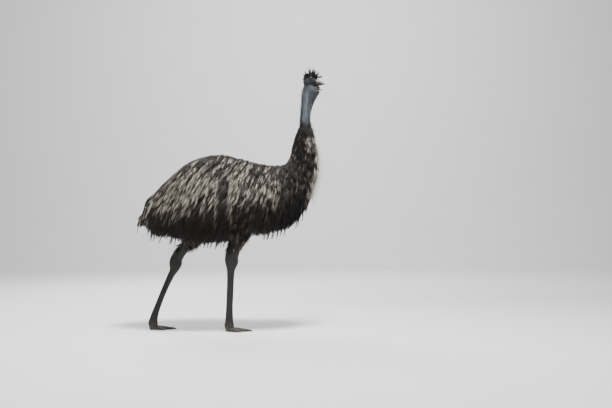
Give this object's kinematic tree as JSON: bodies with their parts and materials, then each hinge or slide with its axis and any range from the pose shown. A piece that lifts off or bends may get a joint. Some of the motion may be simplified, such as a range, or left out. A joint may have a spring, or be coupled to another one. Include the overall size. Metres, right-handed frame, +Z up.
{
  "type": "emu",
  "caption": "Life-size emu standing in mid-stride with its neck raised and bill open, shaggy plumage, bare legs and splayed toes",
  "frame": {"origin": "middle of the base of the bounding box, on the floor under the bird", "axes": "+X ahead of the bird, +Y to its left, +Z up"},
  "size_m": [1.192, 0.46, 1.6749],
  "materials": {
    "head": "matt bare skin with dark, hair-like feathers",
    "neck_upper": "matt, thinly feathered blue-grey skin",
    "neck_lower": "dark, shaggy feathers",
    "torso": "shaggy, streaked grey-brown feathers",
    "tail": "shaggy, streaked grey-brown feathers",
    "wing_right": "grey-brown feathers",
    "wing_left": "grey-brown feathers",
    "shank_right": "short, dull brown feathers",
    "shank_left": "short, dull brown feathers",
    "tarsus_right": "dry grey-brown scales",
    "tarsus_left": "dry grey-brown scales",
    "foot_right": "dry grey-brown scales",
    "foot_left": "dry grey-brown scales",
    "bill_upper": "dark horn with a low sheen",
    "bill_lower": "dark horn with a low sheen",
    "eye_right": "wet, glossy",
    "eye_left": "wet, glossy",
    "claw_right_middle": "dark horn",
    "claw_right_inner": "dark horn",
    "claw_right_outer": "dark horn",
    "claw_left_middle": "dark horn",
    "claw_left_inner": "dark horn",
    "claw_left_outer": "dark horn"
  },
  "bodies": {
    "root": {"head": "head", "neck_upper": "neck_upper", "neck_lower": "neck_lower", "torso": "torso", "tail": "tail", "wing_right": "wing_right", "wing_left": "wing_left", "shank_right": "shank_right", "shank_left": "shank_left", "tarsus_right": "tarsus_right", "tarsus_left": "tarsus_left", "foot_right": "foot_right", "foot_left": "foot_left", "bill_upper": "bill_upper", "bill_lower": "bill_lower", "eye_right": "eye_right", "eye_left": "eye_left", "claw_right_middle": "claw_right_middle", "claw_right_inner": "claw_right_inner", "claw_right_outer": "claw_right_outer", "claw_left_middle": "claw_left_middle", "claw_left_inner": "claw_left_inner", "claw_left_outer": "claw_left_outer"}
  },
  "joints": []
}
